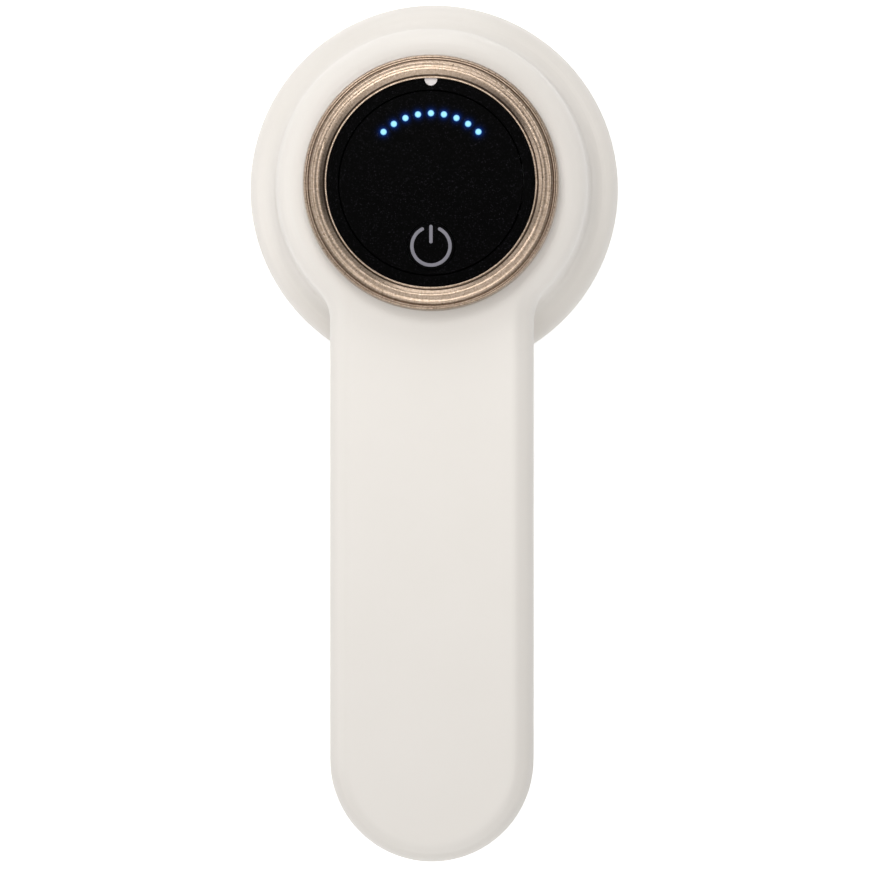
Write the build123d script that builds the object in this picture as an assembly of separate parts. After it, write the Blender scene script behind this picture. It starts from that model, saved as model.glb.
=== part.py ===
from build123d import *
from math import cos, pi, radians, sin
import os

# Hand-held red light body massager: a wide round head with a turning dial on top and a
# red light window in a steel contact ring underneath, on a long flat handle.
# Millimetres. The origin is on the head's axis in the plane that lies on the skin,
# +Z points out through the dial, and the handle runs along -Y.

# Casing
overall_length = 207.6
rim_radius = 45.0
drum_radius = 37.4
handle_width = 48.9
front_z = 38.0
part_z = 25.0
handle_back_z = 11.5
wall = 2.0
bevel_width = 4.3
bevel_drop = 2.3
edge_softness = 4.0
neck_blend = 10.0
back_round = 9.0

# Brim of the head, from its open underside to the foot of the drum
brim_bottom_z = 2.0
rim_top_z = 12.0
brim_inner_z = 14.6
valley_radius = 38.6
flare_top_z = 31.0
rim_lower_round = 5.0
rim_upper_round = 4.4
valley_round = 4.4

# Clearances
fit_gap = 0.02
screw_gap = 0.05
running_gap = 0.08
moving_gap = 0.3
seat_gap = 0.1
lip_height = 1.4

# Dial
skirt_radius = 27.6
skirt_bore_radius = 24.6
collar_inner_radius = 22.25
collar_flange_radius = 29.2
collar_flange_height = 1.6
dial_radius = 30.55
dial_lip_radius = 24.9
dial_height = 7.4
dial_lip_height = 1.4
dial_channel_depth = 0.3
dial_groove_depth = 1.4
dial_rim_drop = 0.9
panel_recess = 3.0
glide_thickness = 0.3
pointer_radius = 1.5
pointer_circle_radius = 24.7
pointer_depth = 1.0

# Level gear, its pinion and the stop that limits the dial
gear_module = 0.8
gear_teeth = 60
pinion_teeth = 20
tooth_backlash = 0.16
gear_wall = 3.2
gear_flange_radius = 29.8
gear_flange_thickness = 1.5
gear_face_width = 2.9
dial_half_range = 43.0
stop_half_width = 2.0
stop_height = 2.5

# Display inside the dial
panel_thickness = 1.8
tower_setback = 0.15
tower_wall = 1.6
carrier_radius = 34.9
carrier_thickness = 1.6
display_board_thickness = 1.2
display_board_depth = 3.6
level_count = 9
level_radius = 16.6
level_pitch = 10.75
level_dot_radius = 0.75
button_radius = 5.75
button_edge = 1.1
button_travel = 0.4
symbol_radius = 4.95
symbol_stroke = 0.8
symbol_bar_start = 0.65
symbol_gap = 27.0
symbol_depth = 0.5
switch_size = 4.5
switch_height = 1.3
plunger_radius = 1.0
plunger_length = 0.95
encoder_size = 7.0
encoder_height = 2.6

# Underside of the head
contact_outer_radius = 40.0
contact_inner_radius = 27.0
contact_thickness = 1.2
contact_edge_height = 3.2
base_radius = 41.3
base_z = 3.4
base_thickness = 2.0
light_bore_radius = 24.6
light_collar_height = 2.0
light_board_radius = 27.8
light_board_thickness = 1.6
lens_thickness = 1.6
lens_edge_height = 2.9
gasket_thickness = 0.5
shelf_z = 8.0
shelf_thickness = 2.0
shelf_inner_radius = 29.0
reflector_thickness = 2.0
reflector_drop = 0.8
led_circle_radii = (0.0, 9.0, 18.0)
led_circle_counts = (1, 6, 12)
led_size = 3.5
led_base = 0.7
led_dome_radius = 1.4

# Vibration motor
motor_length = 20.0
motor_radius = 10.05
motor_height = 15.1
motor_wall = 0.8
motor_pad_thickness = 1.0
mount_radius = 34.6
mount_thickness = 1.8
shaft_radius = 1.0
armature_radius = 6.3
armature_length = 12.0
weight_radius = 7.8
weight_length = 8.0
clamp_width = 8.0
clamp_thickness = 0.8
clamp_screw_y = 14.0
end_cap_thickness = 2.0
bush_radius = 2.5
bush_length = 2.4
motor_front_x = 3.0
weight_gap = 3.0

# Handle contents
battery_radius = 9.2
battery_start_y = -36.8
battery_to_board = 6.2
tab_thickness = 0.25
cradle_wall = 1.9
cradle_height = 8.5
cradle_floor = 1.5
cradle_slack = 0.6
cradle_end_wall = 1.2
cradle_ear_lift = 3.5
cradle_ear_thickness = 1.5
main_board_width = 22.0
main_board_length = 47.6
main_board_end_gap = 7.0
main_board_thickness = 1.6
main_board_lift = 5.1
socket_width = 8.94
socket_height = 3.2
socket_length = 7.3
socket_recess = 0.4
plug_height = 3.4
plug_x = 3.2
plug_inset = 4.0
signal_plug_x = 7.6
signal_plug_inset = 11.0
lead_radius = 0.55
lead_bend = 1.1
screw_plug_depth = 3.4
screw_plug_recess = 0.15
case_boss_radius = 4.2
case_seat_depth = 5.5
case_screw_x = 16.0
case_screw_head_inset = 11.2
case_screw_end_inset = 17.0
cradle_screw_x = 14.4
board_post_x = 8.6
board_post_inset = 4.0
board_post_spacing = 27.0

# Screws: shank radius, head radius, head height
small_screw = (0.7, 1.2, 0.8)
board_screw = (0.9, 1.7, 0.9)
frame_screw = (1.0, 1.9, 1.4)
case_screw = (1.3, 2.5, 1.8)

# Places worked out from the sizes above
handle_half = handle_width / 2
handle_end_y = rim_radius - overall_length
handle_turn_y = handle_end_y + handle_half
ceiling_z = front_z - wall
floor_z = handle_back_z + wall
panel_z = front_z + dial_height - panel_recess
panel_under_z = panel_z - panel_thickness
panel_radius = collar_inner_radius - moving_gap
tower_radius = panel_radius - tower_setback
button_centre_y = button_radius + button_edge - panel_radius
glide_z = front_z + glide_thickness
collar_bottom_z = glide_z + 0.05
gear_top_z = ceiling_z - moving_gap - 0.05
gear_low_z = gear_top_z - gear_flange_thickness - gear_face_width
carrier_top_z = gear_low_z - moving_gap - 0.15
carrier_z = carrier_top_z - carrier_thickness
display_board_z = panel_under_z - display_board_depth
gear_radius = gear_module * gear_teeth / 2
pinion_radius = gear_module * pinion_teeth / 2
pinion_x = gear_radius - pinion_radius
base_top_z = base_z + base_thickness
light_board_z = base_top_z + light_collar_height
mount_z = shelf_z + shelf_thickness
motor_bottom_z = mount_z + mount_thickness + motor_pad_thickness
motor_axis_z = motor_bottom_z + motor_height / 2
main_board_end_y = handle_end_y + main_board_end_gap
main_board_start_y = main_board_end_y + main_board_length
battery_end_y = main_board_start_y + battery_to_board
battery_length = battery_start_y - battery_end_y
battery_axis_z = floor_z + cradle_floor + seat_gap + battery_radius
main_board_z = floor_z + main_board_lift
main_board_top_z = main_board_z + main_board_thickness
plug_y = main_board_start_y - plug_inset
signal_plug_y = main_board_start_y - signal_plug_inset
plug_top_z = main_board_top_z + plug_height
case_seat_z = handle_back_z + case_seat_depth
cradle_ear_z = floor_z + cradle_ear_lift
display_board_top_z = display_board_z + display_board_thickness
plunger_top_z = display_board_top_z + switch_height + button_travel + 0.1
motor_back_x = motor_front_x - motor_length
clamp_x = motor_front_x - motor_length / 2
weight_x = motor_front_x + weight_gap

# Screw places
carrier_screw_radius = drum_radius - wall - 2.2
carrier_screw_angles = (45, 135, 225, 315)
base_screw_radius = 32.0
base_screw_angles = (45, 135, 225, 315)
gear_screw_radius = 26.6
gear_screw_angles = (45, 135, 225, 315)
light_screw_radius = 26.3
light_screw_angles = (90, 210, 330)
post_radius = 2.2
display_post_radius = tower_radius - 4.2
display_post_angles = (165, 225, 315)
case_screw_places = [
    (x, y)
    for y in (battery_start_y - case_screw_head_inset, handle_end_y + case_screw_end_inset)
    for x in (-case_screw_x, case_screw_x)
]
cradle_screw_places = [
    (x, battery_start_y - battery_length / 2 - 4) for x in (-cradle_screw_x, cradle_screw_x)
]
board_post_start_y = main_board_start_y - board_post_inset
board_post_places = [
    (x, y)
    for y in (board_post_start_y, board_post_start_y - board_post_spacing)
    for x in (-board_post_x, board_post_x)
]


# Helpers

def column(radius, low, high):
    """Solid upright cylinder on the origin's axis."""
    return Pos(0, 0, low) * extrude(Circle(radius), high - low)


def ring(outer, inner, low, high):
    """Upright tube between two heights."""
    return Pos(0, 0, low) * extrude(Circle(outer) - Circle(inner), high - low)


def rod(radius, start, end):
    """Cylinder along X between two X values."""
    return Plane.YZ.offset(start) * extrude(Circle(radius), end - start)


def slab(x, y, low, high, width, depth):
    """Upright box centred on x, y."""
    return Pos(x, y, low) * extrude(Rectangle(width, depth), high - low)


def turned(*points):
    """Solid of revolution about Z from corners of radius, height and corner round."""
    path = FilletPolyline(
        *[(radius, 0, height) for radius, height, _ in points],
        radius=[corner for _, _, corner in points],
        close=True,
    )
    return revolve(make_face(path), Axis.Z)


def around(radius, angles, low=0.0):
    """Places on a circle about Z, one for each angle in degrees."""
    return [
        (radius * cos(radians(angle)), radius * sin(radians(angle)), low) for angle in angles
    ]


def at(places, shape):
    """List of copies of a shape, one at each place."""
    return [Pos(*place) * shape for place in places]


def joined(shapes):
    """One solid out of several that overlap."""
    whole = shapes[0]
    for shape in shapes[1:]:
        whole = whole + shape
    return whole


def group(shapes):
    """Separate solids kept side by side in one node."""
    return Compound(children=[solid for shape in shapes for solid in shape.solids()])


def screw(kind, length, head_down=False):
    """Pan head screw with a cross recess: its seat is at z = 0 and its shank points down."""
    shank, head, height = kind
    body = column(shank, -length, 0.0) + column(head, 0.0, height)
    body = fillet(body.edges().sort_by(Axis.Z)[-1], height * 0.4)
    recess = slab(0, 0, height * 0.4, height, head, head * 0.26)
    body = body - recess - Rot(0, 0, 90) * recess
    return Rot(180, 0, 0) * body if head_down else body


def wire(points, radius, bend):
    """Round wire along straight runs joined by tangent arcs."""
    path = FilletPolyline(*points, radius=bend)
    section = Plane(origin=path @ 0, z_dir=path % 0) * Circle(radius)
    return sweep(section, path=path)


def write(name, shape):
    """Write one node to its own file."""
    shape.label = name
    export_step(shape, f"parts/{name}.step")


# Casing: outer form and hollow come from the same outline, drawn in by an inset

def outline(inset, low):
    """Plan of drum and handle in one, with the neck's inner corners rounded."""
    half = handle_half - inset
    plan = Circle(drum_radius - inset)
    plan = plan + Pos(0, handle_turn_y / 2) * Rectangle(2 * half, -handle_turn_y)
    plan = plan + Pos(0, handle_turn_y) * Circle(half)
    neck = [corner for corner in plan.vertices() if corner.Y > handle_turn_y / 2]
    return Pos(0, 0, low) * fillet(neck, neck_blend + inset)


def upper_body(inset):
    """Upper half of the form, with the bevel that runs round drum and handle."""
    top_z = front_z - inset
    body = extrude(outline(inset, part_z), top_z - part_z)
    top = body.faces().sort_by(Axis.Z)[-1]
    body = chamfer(top.edges(), bevel_width, bevel_drop, reference=top)
    heights = (top_z, top_z - bevel_drop)
    edges = [
        edge for edge in body.edges()
        if edge.bounding_box().size.Z < 0.01
        and min(abs(edge.center().Z - height) for height in heights) < 0.01
    ]
    return fillet(edges, edge_softness)


def lower_body(inset):
    """Rounded back of the handle."""
    body = extrude(outline(inset, handle_back_z + inset), part_z - handle_back_z - inset)
    return fillet(body.faces().sort_by(Axis.Z)[0].edges(), back_round - inset)


def flare(inset):
    """Brim, valley and flared side of the head."""
    return turned(
        (0, brim_bottom_z + inset, 0),
        (rim_radius - inset, brim_bottom_z + inset, rim_lower_round - inset),
        (rim_radius - inset, rim_top_z - inset, rim_upper_round - inset),
        (valley_radius - inset, brim_inner_z - inset, valley_round + inset),
        (drum_radius - inset, flare_top_z, 0),
        (0, flare_top_z, 0),
    )


def casing_form(inset):
    return upper_body(inset) + lower_body(inset) + flare(inset)


def lip(outer_inset, height):
    """Band that stands on the parting plane, inside the wall."""
    return extrude(outline(outer_inset, part_z) - outline(wall, part_z), height)


def case_bosses(low, high, radius):
    return at(case_screw_places, column(radius, low, high))


def front_shell(shell):
    shank, _, _ = frame_screw
    case_shank, _, _ = case_screw
    upper = split(shell, Plane.XY.offset(part_z), keep=Keep.TOP)
    upper = upper - lip(wall / 2 - seat_gap, lip_height + seat_gap)
    upper = upper - column(skirt_radius + running_gap, ceiling_z - 1, front_z + 1)
    boss = column(post_radius, carrier_top_z, ceiling_z + 0.3)
    upper = joined([upper] + at(around(carrier_screw_radius, carrier_screw_angles), boss))
    pilot = column(shank + screw_gap, carrier_top_z - 1, ceiling_z - 1)
    for hole in at(around(carrier_screw_radius, carrier_screw_angles), pilot):
        upper = upper - hole
    upper = joined([upper] + case_bosses(part_z - 0.3, ceiling_z + wall / 2, 3.2))
    for hole in case_bosses(part_z - 1, ceiling_z - 4, case_shank + screw_gap):
        upper = upper - hole
    return upper


def rear_shell(shell):
    shank, _, _ = board_screw
    case_shank, case_head, _ = case_screw
    lower = split(shell, Plane.XY.offset(part_z), keep=Keep.BOTTOM)
    lower = lower + lip(wall / 2, lip_height)
    lower = lower - column(base_radius + seat_gap, brim_bottom_z - 1, shelf_z)
    shelf = ring(rim_radius - wall / 2, shelf_inner_radius, shelf_z, shelf_z + shelf_thickness)
    lower = lower + shelf
    frame_shank, _, _ = frame_screw
    for hole in at(
        around(base_screw_radius, base_screw_angles),
        column(frame_shank + screw_gap, shelf_z - 1, mount_z + 1),
    ):
        lower = lower - hole
    back = lower_body(wall / 2)
    bosses = case_bosses(handle_back_z + wall / 2, part_z - 0.4, case_boss_radius)
    lower = joined([lower] + [boss & back for boss in bosses])
    for hole in case_bosses(handle_back_z - 1, part_z + 1, case_shank + screw_gap):
        lower = lower - hole
    for hole in case_bosses(handle_back_z - 1, case_seat_z, case_head + 0.4):
        lower = lower - hole
    posts = at(board_post_places, column(post_radius, floor_z - wall / 2, main_board_z))
    posts += at(cradle_screw_places, column(post_radius, floor_z - wall / 2, cradle_ear_z))
    lower = joined([lower] + posts)
    for hole in at(board_post_places, column(shank + screw_gap, floor_z + 1, main_board_z + 1)):
        lower = lower - hole
    for hole in at(cradle_screw_places, column(shank + screw_gap, floor_z, cradle_ear_z + 1)):
        lower = lower - hole
    return lower - socket_form(0.25, handle_end_y - 1)


def case_screws():
    return group(at(
        [(x, y, case_seat_z) for x, y in case_screw_places], screw(case_screw, 12.0, True)
    ))


def screw_plugs():
    """Soft plugs over the case screws; their outer faces follow the rounded back."""
    _, head, _ = case_screw
    back = lower_body(screw_plug_recess)
    plugs = at(case_screw_places, column(head + 0.35, handle_back_z, handle_back_z + screw_plug_depth))
    return group([plug & back for plug in plugs])


# Dial: ring, collar, pointer, gear

def dial_ring():
    """Satin metal ring: lip, curved inner bevel, two crests with a channel between, groove, rim."""
    top_z = front_z + dial_height
    lip_z = panel_z + 0.05
    shoulder_z = collar_bottom_z + collar_flange_height + seat_gap
    return turned(
        (dial_lip_radius, lip_z, 0),
        (dial_lip_radius, lip_z + dial_lip_height, 0.15),
        (dial_lip_radius + 0.4, lip_z + dial_lip_height, 0.1),
        (dial_lip_radius + 0.75, top_z - 0.75, 0.6),
        (dial_lip_radius + 2.0, top_z, 1.1),
        (dial_radius - 2.7, top_z - dial_channel_depth, 1.3),
        (dial_radius - 1.65, top_z - dial_channel_depth / 6, 0.6),
        (dial_radius - 1.15, top_z - dial_groove_depth, 0.1),
        (dial_radius - 0.85, top_z - dial_groove_depth, 0.1),
        (dial_radius - 0.7, top_z - dial_rim_drop, 0.12),
        (dial_radius - 0.3, top_z - dial_rim_drop, 0.25),
        (dial_radius, top_z - 2.5 * dial_rim_drop, 0.3),
        (dial_radius, collar_bottom_z + seat_gap, 0.2),
        (collar_flange_radius + seat_gap, collar_bottom_z + seat_gap, 0),
        (collar_flange_radius + seat_gap, shoulder_z, 0),
        (skirt_radius + seat_gap, shoulder_z, 0),
        (skirt_radius + seat_gap, lip_z, 0),
    )


def dial_collar():
    """Black carrier of the ring; its skirt turns in the casing's opening."""
    shank, _, _ = small_screw
    body = ring(skirt_radius, skirt_bore_radius, gear_top_z, panel_z)
    body = body + ring(skirt_radius - 0.5, collar_inner_radius, panel_z - 1.5, panel_z)
    body = body + ring(
        collar_flange_radius, skirt_bore_radius + 1, collar_bottom_z,
        collar_bottom_z + collar_flange_height,
    )
    body = body - Pos(0, pointer_circle_radius) * column(
        pointer_radius + fit_gap, panel_z - pointer_depth, panel_z + 1
    )
    pilot = column(shank + fit_gap, gear_top_z - 1, collar_bottom_z)
    for hole in at(around(gear_screw_radius, gear_screw_angles), pilot):
        body = body - hole
    return body


def dial_pointer():
    return Pos(0, pointer_circle_radius) * column(
        pointer_radius, panel_z - pointer_depth, panel_z + 0.02
    )


def tooth(root_radius, tip_radius, root_half, tip_half):
    """One straight-sided tooth between its root and its tip, on the +X side of the axis."""
    (low, low_half), (high, high_half) = sorted([(root_radius, root_half), (tip_radius, tip_half)])
    return Polygon(
        (low, -low_half), (high, -high_half), (high, high_half), (low, low_half), align=None
    )


def teeth(shape, count, first):
    return [Rot(0, 0, first + 360 * index / count) * shape for index in range(count)]


def dial_gear():
    """Inner-toothed ring under the casing: it holds the dial down and turns the sensor."""
    shank, head, height = small_screw
    pitch_half = pi * gear_module / 4 - tooth_backlash / 2
    root = gear_radius + 1.25 * gear_module
    outer = root + gear_wall
    low = gear_low_z
    flange_z = gear_top_z - gear_flange_thickness
    face = tooth(root + 0.3, gear_radius - 0.85 * gear_module, pitch_half + 0.42, pitch_half - 0.28)
    plan = Circle(outer) - Circle(root)
    for shape in teeth(face, gear_teeth, 180 / gear_teeth):
        plan = plan + shape
    body = Pos(0, 0, low) * extrude(plan, gear_face_width)
    body = body + ring(gear_flange_radius, root, flange_z, gear_top_z)
    lug = slab(
        -(outer + gear_flange_radius) / 2, 0, flange_z - stop_height, flange_z + 0.5,
        gear_flange_radius - outer + 0.3, 2 * stop_half_width,
    )
    body = body + lug
    for hole in at(around(gear_screw_radius, gear_screw_angles),
                   column(shank + fit_gap, low - 1, gear_top_z + 1)):
        body = body - hole
    for hole in at(around(gear_screw_radius, gear_screw_angles),
                   column(head + 0.1, low - 1, low + height + 0.2)):
        body = body - hole
    return body


def dial_gear_screws():
    _, _, height = small_screw
    seat = gear_low_z + height + 0.2
    length = collar_bottom_z - seat - 0.3
    return group(at(
        around(gear_screw_radius, gear_screw_angles, seat), screw(small_screw, length, True)
    ))


def dial_glide_ring():
    return ring(collar_flange_radius - 0.1, skirt_radius + 0.3, front_z, glide_z)


# Fixed middle of the dial

def dial_carrier():
    """Plate screwed under the casing, with the tower that holds the display."""
    shank, _, _ = frame_screw
    board_shank, _, _ = board_screw
    body = column(carrier_radius, carrier_z, carrier_top_z)
    body = body + ring(tower_radius, tower_radius - tower_wall, carrier_top_z - 0.5, panel_under_z)
    posts = at(
        around(display_post_radius, display_post_angles),
        column(post_radius, carrier_top_z - 0.5, display_board_z),
    )
    body = joined([body] + posts)
    body = body - Pos(pinion_x, 0) * column(
        pinion_radius + gear_module + 0.6, carrier_top_z, gear_top_z - gear_flange_thickness + 0.5
    )
    body = body - Pos(0, button_centre_y) * column(
        button_radius + 0.4, panel_under_z - button_travel - 0.5, panel_under_z + 1
    )
    stop_radius = gear_radius + 1.25 * gear_module + gear_wall + 0.9
    stop_angle = dial_half_range + (4 * stop_half_width + 1.2) / 2 / radians(stop_radius) + 0.6
    for side in (-1, 1):
        stop = slab(
            -stop_radius, 0, carrier_top_z - 0.5,
            gear_top_z - gear_flange_thickness - moving_gap, 1.2, 2 * stop_half_width,
        )
        body = body + Rot(0, 0, side * stop_angle) * stop
    body = body - slab(0, -9.0, carrier_z - 1, carrier_top_z + 1, 14.0, 6.0)
    pocket = encoder_size + 2 * seat_gap
    body = body - slab(
        pinion_x, 0, display_board_z - encoder_height - seat_gap, display_board_z, pocket, pocket
    )
    for hole in at(around(carrier_screw_radius, carrier_screw_angles),
                   column(shank + screw_gap, carrier_z - 1, carrier_top_z + 1)):
        body = body - hole
    for hole in at(around(display_post_radius, display_post_angles),
                   column(board_shank + screw_gap, display_board_z - 4, display_board_z + 1)):
        body = body - hole
    return body


def carrier_screws():
    return group(at(
        around(carrier_screw_radius, carrier_screw_angles, carrier_z),
        screw(frame_screw, 5.5, True),
    ))


def level_angles():
    first = 90 + level_pitch * (level_count - 1) / 2
    return [first - level_pitch * index for index in range(level_count)]


def display_board():
    shank, _, _ = board_screw
    body = column(
        tower_radius - tower_wall - 0.15, display_board_z, display_board_top_z
    )
    for hole in at(around(display_post_radius, display_post_angles),
                   column(shank + screw_gap, display_board_z - 1, display_board_z + 3)):
        body = body - hole
    return body


def display_board_screws():
    top_z = display_board_top_z
    return group(at(
        around(display_post_radius, display_post_angles, top_z), screw(board_screw, 4.0)
    ))


def level_leds():
    low = display_board_top_z
    chip = slab(level_radius, 0, low, low + 0.7, 0.9, 1.6)
    return group([Rot(0, 0, angle) * chip for angle in level_angles()])


def level_light_guide():
    """Clear bar under the panel with one pin for each level, flush with the panel."""
    low = panel_under_z - 1.0
    half_span = level_pitch * level_count / 2
    bar = ring(level_radius + 1.1, level_radius - 1.1, low, panel_under_z)
    wedge = Polygon((0, 0), *[
        (40 * cos(radians(angle)), 40 * sin(radians(angle)))
        for angle in (90 - half_span, 90, 90 + half_span)
    ], align=None)
    bar = bar & Pos(0, 0, low - 1) * extrude(wedge, 3)
    pin = column(level_dot_radius, low, panel_z)
    return joined([bar] + at(around(level_radius, level_angles()), pin))


def display_panel():
    body = column(panel_radius, panel_under_z, panel_z)
    body = chamfer(body.edges().sort_by(Axis.Z)[-1], 0.1)
    for hole in at(around(level_radius, level_angles()),
                   column(level_dot_radius + fit_gap, panel_under_z - 1, panel_z + 1)):
        body = body - hole
    return body - Pos(0, button_centre_y) * column(
        button_radius + running_gap, panel_under_z - 1, panel_z + 1
    )


def symbol_plan(grow):
    """Power sign: an open ring with a short bar in its gap."""
    half = symbol_stroke / 2 + grow
    middle = symbol_radius - symbol_stroke / 2
    plan = Circle(middle + half) - Circle(middle - half)
    opening = Polygon((0, 0), *[
        (12 * sin(radians(angle)), 12 * cos(radians(angle)))
        for angle in (-symbol_gap, 0, symbol_gap)
    ], align=None)
    ends = [
        Pos(middle * sin(radians(angle)), middle * cos(radians(angle))) * Circle(half)
        for angle in (-symbol_gap, symbol_gap)
    ]
    arc = plan - opening
    for end in ends:
        arc = arc + end
    bar_length = symbol_radius + symbol_stroke / 8 - symbol_bar_start
    bar = Pos(0, symbol_bar_start + bar_length / 2) * SlotOverall(
        bar_length + 2 * grow, 2 * half, rotation=90
    )
    return [arc, bar]


def power_symbol():
    return group([
        Pos(0, button_centre_y, panel_z - symbol_depth + fit_gap) * extrude(plan, symbol_depth)
        for plan in symbol_plan(0.0)
    ])


def power_button():
    """Round cap in the panel, with two tabs that keep it in and a foot on the switch."""
    cap = column(button_radius, panel_under_z + 0.1, panel_z)
    cap = fillet(cap.edges().sort_by(Axis.Z)[-1], 0.25)
    cap = cap + column(2.2, plunger_top_z, panel_under_z + 0.5)
    cap = cap + slab(0, 0, panel_under_z - 0.6, panel_under_z - 0.1, 2 * button_radius + 2.6, 3.0)
    cap = cap + slab(0, 0, panel_under_z - 0.6, panel_under_z + 0.5, 2 * button_radius - 2, 3.0)
    cap = Pos(0, button_centre_y) * cap
    for plan in symbol_plan(fit_gap):
        cap = cap - Pos(0, button_centre_y, panel_z - symbol_depth) * extrude(plan, 2)
    return cap


def power_switch():
    low = display_board_top_z
    body = slab(0, button_centre_y, low, low + switch_height, switch_size, switch_size)
    bottom = plunger_top_z - plunger_length - button_travel - 0.05
    return body - Pos(0, button_centre_y) * column(
        plunger_radius + running_gap, bottom, low + switch_height + 1
    )


def switch_plunger():
    return Pos(0, button_centre_y) * column(
        plunger_radius, plunger_top_z - plunger_length, plunger_top_z
    )


def level_encoder():
    body = slab(
        pinion_x, 0, display_board_z - encoder_height, display_board_z, encoder_size, encoder_size
    )
    return body - Pos(pinion_x, 0) * column(
        shaft_radius + 0.05, display_board_z - encoder_height - 1, display_board_z - 1.0
    )


def encoder_shaft():
    return Pos(pinion_x, 0) * column(shaft_radius, gear_low_z + 0.1, display_board_z - 1.1)


def encoder_pinion():
    pitch_half = pi * gear_module / 4 - tooth_backlash / 2
    root = pinion_radius - 1.15 * gear_module
    face = tooth(root - 0.3, pinion_radius + 0.85 * gear_module, pitch_half + 0.3, pitch_half - 0.34)
    plan = Circle(root)
    for shape in teeth(face, pinion_teeth, 0):
        plan = plan + shape
    plan = plan - Circle(shaft_radius + fit_gap)
    high = gear_low_z + gear_face_width - 0.2
    return Pos(pinion_x, 0, gear_low_z + 0.1) * extrude(plan, high - gear_low_z - 0.1)


# Underside of the head

def contact_ring():
    """Pressed stainless ring with both edges turned up into the base."""
    inner, outer, thick = contact_inner_radius, contact_outer_radius, contact_thickness
    return turned(
        (inner, 0, 0.4),
        (outer, 0, 1.0),
        (outer, contact_edge_height, 0),
        (outer - thick, contact_edge_height, 0),
        (outer - thick, thick, 0.2),
        (inner + thick, thick, 0.2),
        (inner + thick, contact_edge_height, 0),
        (inner, contact_edge_height, 0),
    )


def head_base():
    """Floor of the head: it carries the contact ring, the lens and the light board."""
    groove_inner = contact_inner_radius + contact_thickness + 0.3
    groove_outer = contact_outer_radius - contact_thickness - 0.3
    body = turned(
        (light_bore_radius, base_z, 0),
        (groove_inner, base_z, 0),
        (groove_inner, contact_thickness + seat_gap, 0),
        (groove_outer, contact_thickness + seat_gap, 0),
        (groove_outer, base_z, 0),
        (contact_outer_radius + 0.3, base_z, 0),
        (contact_outer_radius + 0.3, brim_bottom_z + 0.2, 0),
        (base_radius, brim_bottom_z + 0.2, 0.3),
        (base_radius, base_top_z, 0),
        (light_board_radius + 0.2, base_top_z, 0),
        (light_board_radius + 0.2, light_board_z, 0),
        (light_bore_radius, light_board_z, 0),
    )
    shank, _, _ = frame_screw
    board_shank, _, _ = board_screw
    places = around(base_screw_radius, base_screw_angles)
    body = joined([body] + at(places, column(2.6, base_top_z - 0.5, shelf_z - seat_gap)))
    for hole in at(places, column(shank + screw_gap, contact_thickness + 0.6, shelf_z + 1)):
        body = body - hole
    for hole in at(around(light_screw_radius, light_screw_angles),
                   column(board_shank + screw_gap, base_z + 0.6, light_board_z + 1)):
        body = body - hole
    return body


def head_base_screws():
    seat = mount_z + mount_thickness
    return group(at(around(base_screw_radius, base_screw_angles, seat), screw(frame_screw, 9.5)))


def lens_window():
    radius = contact_inner_radius - 0.15
    return turned(
        (0, 0, 0),
        (radius, 0, 0.3),
        (radius, lens_edge_height, 0),
        (light_bore_radius + 0.1, lens_edge_height, 0),
        (light_bore_radius + 0.1, lens_thickness, 0),
        (0, lens_thickness, 0),
    )


def lens_gasket():
    return ring(
        contact_inner_radius - 0.4, light_bore_radius + 0.4,
        lens_edge_height, lens_edge_height + gasket_thickness,
    )


def light_places():
    places = []
    for radius, count in zip(led_circle_radii, led_circle_counts):
        places += around(radius, [360 * index / count for index in range(count)])
    return places


def reflector():
    """White plate with a cone-shaped hole round each red light."""
    high = light_board_z - reflector_drop
    body = column(light_bore_radius - 0.2, high - reflector_thickness, high)
    cone = Pos(0, 0, high - reflector_thickness / 2) * Cone(
        led_size, led_size - 0.9, reflector_thickness + 0.02
    )
    for hole in at(light_places(), cone):
        body = body - hole
    return body


def light_board():
    shank, _, _ = board_screw
    body = column(light_board_radius, light_board_z, light_board_z + light_board_thickness)
    for hole in at(around(light_screw_radius, light_screw_angles),
                   column(shank + screw_gap, light_board_z - 1, light_board_z + 3)):
        body = body - hole
    return body


def light_board_screws():
    seat = light_board_z + light_board_thickness
    return group(at(around(light_screw_radius, light_screw_angles, seat), screw(board_screw, 4.6)))


def red_leds():
    low = light_board_z - led_base
    lamp = slab(0, 0, low, light_board_z, led_size, led_size)
    dome = Pos(0, 0, low) * Sphere(led_dome_radius) & slab(0, 0, low - 3, low + 0.1, 6, 6)
    return group(at(light_places(), lamp + dome))


# Vibration motor

def motor_section(radius, height):
    """Round section with two flats."""
    return Plane.YZ * (Circle(radius) & Rectangle(4 * radius, height))


def motor_solid(radius, height, start, end):
    return Pos(start, 0, motor_axis_z) * extrude(motor_section(radius, height), end - start)


def motor_can():
    body = motor_solid(motor_radius, motor_height, motor_back_x, motor_front_x)
    body = body - motor_solid(
        motor_radius - motor_wall, motor_height - 2 * motor_wall,
        motor_back_x - 1, motor_front_x - motor_wall,
    )
    axis = Pos(0, 0, motor_axis_z)
    body = body + axis * rod(bush_radius + 0.9, motor_front_x - 0.2, motor_front_x + 1.6)
    return body - axis * rod(bush_radius + fit_gap, motor_front_x - 2, motor_front_x + 2)


def motor_end_cap():
    body = motor_solid(
        motor_radius, motor_height, motor_back_x - end_cap_thickness, motor_back_x
    )
    body = body + motor_solid(
        motor_radius - motor_wall - 0.1, motor_height - 2 * motor_wall - 0.2,
        motor_back_x - 0.5, motor_back_x + 1.6,
    )
    return body - Pos(0, 0, motor_axis_z) * rod(
        bush_radius + fit_gap, motor_back_x - 0.8, motor_back_x + 3
    )


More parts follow.
